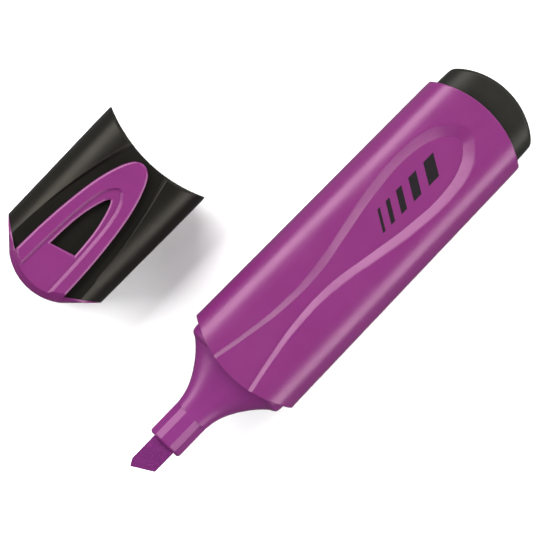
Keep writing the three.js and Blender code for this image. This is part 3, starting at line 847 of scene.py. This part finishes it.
def make_end_plug():
    """The matt plug in the rear: an arched end face with a soft edge, hollow from behind."""
    edge = rounded_rim(
        PEN_LENGTH, -1, PLUG_FACE_HALF_WIDTH, PLUG_FACE_HALF_THICKNESS, radius=PLUG_EDGE, steps=6)
    seam = (PEN_LENGTH, PLUG_FACE_HALF_WIDTH - PLUG_EDGE, SEAM_THICKNESS)
    plug = rounded_bar("end_plug", [*PLUG_SIDE, *reversed(edge), seam], steps=20)
    bow_end(plug, PLUG_BOW, PLUG_RADIUS, -1, low_end=False)
    return combine(plug, rounded_bar("plug_hollow", PLUG_HOLLOW, steps=8))


def soften(piece, width, angle):
    """Chamfers every edge sharper than the angle, in degrees."""
    take(piece)
    step = piece.modifiers.new("soft edges", "BEVEL")
    step.width = width
    step.segments = 1
    step.limit_method = "ANGLE"
    step.angle_limit = math.radians(angle)
    step.use_clamp_overlap = False
    bpy.ops.object.modifier_apply(modifier=step.name)
    return close_up(piece)


def even_normals(piece):
    """Lets the large faces keep their own direction where a small edge meets them."""
    take(piece)
    step = piece.modifiers.new("even normals", "WEIGHTED_NORMAL")
    step.keep_sharp = True
    bpy.ops.object.modifier_apply(modifier=step.name)
    return piece


def make_line_marks():
    """A printed row of slanted strokes of growing width, lying on the panel's floor."""
    marks = None
    for start, width in STROKES:
        low, high = start - STROKE_LEAN, start + STROKE_LEAN
        outline = [
            (low, -STROKE_HALF_HEIGHT), (low + width, -STROKE_HALF_HEIGHT),
            (high + width, STROKE_HALF_HEIGHT), (high, STROKE_HALF_HEIGHT)]
        stroke = push_up(drawn_outline("line_marks", outline), 0, STROKE_THICKNESS)
        soften(stroke, STROKE_EDGE, angle=50)
        if marks is None:
            marks = stroke
        else:
            fresh()
            stroke.select_set(True)
            marks.select_set(True)
            bpy.context.view_layer.objects.active = marks
            bpy.ops.object.join()
    take(marks)
    marks.location = (-PANEL_START, 0, 0)
    bpy.ops.object.transform_apply(location=True, rotation=True, scale=True)
    marks.rotation_euler = (0, math.atan(PANEL_FALL), 0)
    marks.location = (PANEL_START, 0, HALF_THICKNESS - PANEL_FRONT_DEPTH + STROKE_GAP)
    bpy.ops.object.transform_apply(location=True, rotation=True, scale=True)
    return marks


# ---- Cap ----

def cap_half_width(x):
    """Half the cap's width, which narrows a little to the shoulders."""
    return CAP_HALF_WIDTH + x / CAP_SHOULDER * (CAP_END_HALF_WIDTH - CAP_HALF_WIDTH)


def cap_outside(x):
    """The cap's station at x."""
    return (x, cap_half_width(x), HALF_THICKNESS)


def cap_body(name):
    """The outside of the closed cap: full section, rounded end."""
    body = rounded_bar(name, [cap_outside(-CAP_LENGTH - 1), cap_outside(1)], steps=24)
    plan = push_up(
        drawn_outline("end_plan", end_outline(*CAP_END)), -HALF_THICKNESS, HALF_THICKNESS)
    ease_edges(plan, END_ROUND, lambda one, other: (
        abs(one.z - other.z) < 0.01 and min(one.x, other.x) < 1), segments=6)
    return combine(body, plan, "INTERSECT")


def shell_plan(name, gap):
    """The black shell's reach seen from above, as a tall solid; a gap takes its end further back."""
    shoulder, apex, bend_x, bend_y = SHELL_END
    outline = end_outline(shoulder - gap, apex - gap, bend_x - gap, bend_y)
    return push_up(drawn_outline(name, outline), -CUT_HALF_HEIGHT, CUT_HALF_HEIGHT)


def channel_cutter():
    """The wide groove the clip lies in, deeper and wider towards the closed end."""
    front_x, rear_x = CHANNEL_FLOOR[0][0], CHANNEL_FLOOR[-1][0]

    def floor_z(x, y):
        share = (front_x - x) / (front_x - rear_x)
        depth = CHANNEL_MOUTH_DEPTH + share * (CHANNEL_END_DEPTH - CHANNEL_MOUTH_DEPTH)
        return HALF_THICKNESS - depth

    def rim_z(x, y):
        return face_height(y, cap_half_width(x), HALF_THICKNESS)

    def ring(rows, height):
        upper = [(x, y, height(x, y)) for x, y in rows]
        return upper + [(x, -y, z) for x, y, z in reversed(upper)]

    floor, rim = ring(CHANNEL_FLOOR, floor_z), ring(CHANNEL_RIM, rim_z)
    count = len(CHANNEL_FLOOR)
    corners = (0, count - 1, count, 2 * count - 1)
    return hollow_cutter("channel_cutter", floor, rim, CHANNEL_LAYERS, corners)


def make_cap_shell():
    """A cup swept forward along the outside, round the mouth's chamfer and back inside."""
    along = [cap_outside(x) for x in spread(CAP_REAR, CAP_FRONT, 14)]
    half_width = cap_half_width(MOUTH_APEX)
    mouth = [
        cap_outside(MOUTH_APEX - MOUTH_CHAMFER_BACK),
        *[(MOUTH_APEX - back, half_width - side, HALF_THICKNESS - face)
          for back, side, face in MOUTH_CHAMFER]]
    inside = [
        (x, cap_half_width(x) - SIDE_WALL, half_thickness)
        for x, half_thickness in smooth_through(CAP_INSIDE, 1.2)]
    shell = rounded_bar("cap_shell", [*along, *mouth, *inside, CAP_INSIDE_END], steps=24)
    bow_end(shell, MOUTH_BOW, MOUTH_RADIUS, 1, low_end=False)
    combine(shell, shell_plan("shell_plan", 0), "INTERSECT")
    return combine(shell, channel_cutter())


def clip_blank():
    """Clip and root as one leaf with a rounded upper edge, rounded over at the closed end."""
    def ring(inset, z):
        upper = [(x, y - inset, z) for x, y in CLIP_OUTLINE]
        return [*upper, (CLIP_TIP - inset, 0, z), *[(x, -y, z) for x, y, z in reversed(upper)]]

    layers = [ring(0, CLIP_FOOT), *[ring(inset, CLIP_TOP - drop) for inset, drop in CLIP_EDGE]]
    corners = (0, len(layers[0]) - 1)
    leaf = skin_loops("cap_clip", [
        drawn_loop(f"clip_loop_{i}", layer, corners, detail=14)
        for i, layer in enumerate(layers)])
    plan = push_up(
        drawn_outline("clip_end_plan", end_outline(*CAP_END)), -HALF_THICKNESS, CLIP_TOP + 0.001)
    ease_edges(plan, END_ROUND, lambda one, other: (
        min(one.z, other.z) > CLIP_TOP - 0.01 and min(one.x, other.x) < 1), segments=8, profile=0.3)
    return combine(leaf, plan, "INTERSECT")


def recess_cutter():
    """The clip's long recess, with one steep side and one gentle one."""
    def ring(steep, gentle, z):
        upper = [(x, y + steep, z) for x, y in RECESS_OUTLINE]
        lower = [(x, -y - gentle, z) for x, y in reversed(RECESS_OUTLINE)]
        return [*upper, (RECESS_TIP + (steep + gentle) / 2, 0, z), *lower]

    corners = (0, 2 * len(RECESS_OUTLINE))
    return skin_loops("recess_cutter", [
        drawn_loop(f"recess_loop_{i}", ring(*layer), corners, detail=14)
        for i, layer in enumerate(RECESS_LAYERS)])


def window_cutter():
    """The opening through the recess's floor, with a slanted base and a softened upper edge."""
    def ring(grow, z):
        left = (WINDOW_LEFT[0] - grow, WINDOW_LEFT[1] + grow, z)
        right = (WINDOW_RIGHT[0] - grow, WINDOW_RIGHT[1] - grow, z)
        upper = [(x, y + grow, z) for x, y in WINDOW_OUTLINE]
        lower = [(x, -y, z) for x, y, z in reversed(upper)]
        return [left, *upper, (WINDOW_TIP + grow, 0, z), *lower, right]

    corners = (0, 2 * len(WINDOW_OUTLINE) + 2)
    return skin_loops("window_cutter", [
        drawn_loop(f"window_loop_{i}", ring(*layer), corners, detail=14)
        for i, layer in enumerate(WINDOW_LAYERS)])


def make_clip():
    """The clip, free of the cap in front of its root, with its recess and window."""
    clip = clip_blank()
    combine(clip, block(
        "clip_under", (CLIP_ROOT, -CUT_HALF_HEIGHT, 0),
        (PAST_MOUTH + CUT_PAST, CUT_HALF_HEIGHT, CLIP_UNDERSIDE)))
    combine(clip, recess_cutter())
    return combine(clip, window_cutter())


def make_crown():
    """The purple end of the cap behind the black shell, with a seat for the clip's root."""
    crown = cap_body("cap_crown")
    combine(crown, shell_plan("crown_cover", SHELL_GAP))
    close_up(crown)
    upper = [*CLIP_OUTLINE[:2], ROOT_SEAT_FRONT]
    outline = [(x, y, 0) for x, y in upper] + [(x, -y, 0) for x, y in reversed(upper)]
    seat = drawn_loop("root_seat", outline, straight=(0, 2, 3, 5), detail=8)
    push_up(seat, CLIP_FOOT - ROOT_SEAT_GAP, CUT_HALF_HEIGHT)
    take(seat)
    seat.scale = (1, ROOT_SEAT_SCALE, 1)
    bpy.ops.object.transform_apply(location=True, rotation=True, scale=True)
    return combine(crown, seat)


def make_sleeve():
    """The tube inside the cap that closes around the nozzle."""
    sleeve = rounded_bar("cap_sleeve", SLEEVE_OUTSIDE, steps=12)
    return combine(sleeve, rounded_bar("sleeve_bore", SLEEVE_BORE, steps=12))


def place_on(body, piece, place, material, nodes, smooth=14):
    """Finishes a piece and hands it to the body it moves with."""
    settle(piece, place, material, smooth)
    even_normals(piece)
    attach(piece, body)
    if nodes:
        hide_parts(*nodes)
    return piece


barrel = combine(make_barrel(), panel_cutter())
place_on("pen", barrel, pen_place, PURPLE, ["barrel"])
place_on(
    "pen", make_front_section(), pen_place, SATIN_PURPLE, ["front_section"],
    smooth=18)
place_on("pen", make_nib(), pen_place, FELT, ["chisel_nib"], smooth=25)
place_on(
    "pen", make_end_plug(), pen_place, MATT_BLACK, ["end_plug"], smooth=25)
place_on("pen", make_line_marks(), pen_place, INK, [], smooth=25)
place_on("cap", make_cap_shell(), cap_place, BLACK, ["cap_shell"])
place_on("cap", make_sleeve(), cap_place, SLEEVE, ["cap_inner_sleeve"])
place_on("cap", make_crown(), cap_place, PURPLE, ["cap_crown"], smooth=20)

clip = settle(make_clip(), cap_place, PURPLE, smooth=20)
even_normals(clip)
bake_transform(clip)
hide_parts("cap_clip")

for node_name, material in (("ink_reservoir", FIBRE), ("reservoir_film", FILM)):
    node = bpy.data.objects[node_name]
    for material_slot in node.material_slots:
        material_slot.material = material


# ---- Floor, light and camera, in metres ----

FLOOR_SIZE, FLOOR_GAP = 3, 0.00005
FLOOR_LIT, FLOOR_SEEN = (0.1, 0.1, 0.1), (0.95, 0.95, 0.95)
WORLD_STRENGTH = 0.13
CAMERA_TURN = -45.84
CAMERA_AIM = (-0.00575, -0.01171, 0.0083)
VIEW_WIDTH = 0.1099
LENS, SENSOR_WIDTH = 700, 36
FAR_LIMIT = 20


def make_floor():
    """A table top that the camera sees as near white, and that throws little light on the pen."""
    fresh()
    bpy.ops.mesh.primitive_plane_add(size=FLOOR_SIZE, location=(0, 0, -FLOOR_GAP))
    floor = named("floor")
    material, tree, shader, _ = start_material("floor_paint")
    seen = tree.nodes.new("ShaderNodeLightPath").outputs["Is Camera Ray"]
    tree.links.new(mix_colour(tree, seen, FLOOR_LIT, FLOOR_SEEN), shader.inputs["Base Color"])
    shader.inputs["Roughness"].default_value = 0.9
    floor.data.materials.append(material)


def add_light(name, place, size, power, aim=(0, 0, 0)):
    """A soft box at this place, turned to the aim and out of the camera's sight."""
    fresh()
    bpy.ops.object.light_add(type="AREA", location=place)
    light = bpy.context.object
    light.name = name
    light.data.shape = "RECTANGLE"
    light.data.size, light.data.size_y = size
    light.data.energy = power
    direction = Vector(aim) - Vector(place)
    light.rotation_euler = direction.to_track_quat("-Z", "Y").to_euler()
    light.visible_camera = False
    return light


make_floor()
add_light("left_strip", place=(0, 0.54, 0.45), size=(1.5, 0.42), power=17.5)
add_light("right_strip", place=(0.3, -0.62, 0.34), size=(1.2, 0.42), power=11.6, aim=(0.3, 0, 0))
add_light("end_strip", place=(0.62, 0, 0.42), size=(0.42, 1.2), power=3.0)
fill = add_light("overhead_fill", place=(0, 0, 1.2), size=(2.2, 2.2), power=6.0)
fill.visible_glossy = False

world = bpy.data.worlds.new("studio")
bpy.context.scene.world = world
world.use_nodes = True
background = world.node_tree.nodes["Background"]
background.inputs["Color"].default_value = (1, 1, 1, 1)
background.inputs["Strength"].default_value = WORLD_STRENGTH

camera_data = bpy.data.cameras.new("camera")
camera_data.lens = LENS
camera_data.sensor_width = SENSOR_WIDTH
camera_data.clip_end = FAR_LIMIT
camera = bpy.data.objects.new("camera", camera_data)
bpy.context.scene.collection.objects.link(camera)
aim_x, aim_y, aim_z = CAMERA_AIM
distance = VIEW_WIDTH / 2 / (SENSOR_WIDTH / 2 / LENS)
camera.location = (aim_x, aim_y, distance + aim_z)
camera.rotation_euler = (0, 0, math.radians(CAMERA_TURN))
bpy.context.scene.camera = camera
bpy.context.scene.view_settings.view_transform = "Standard"
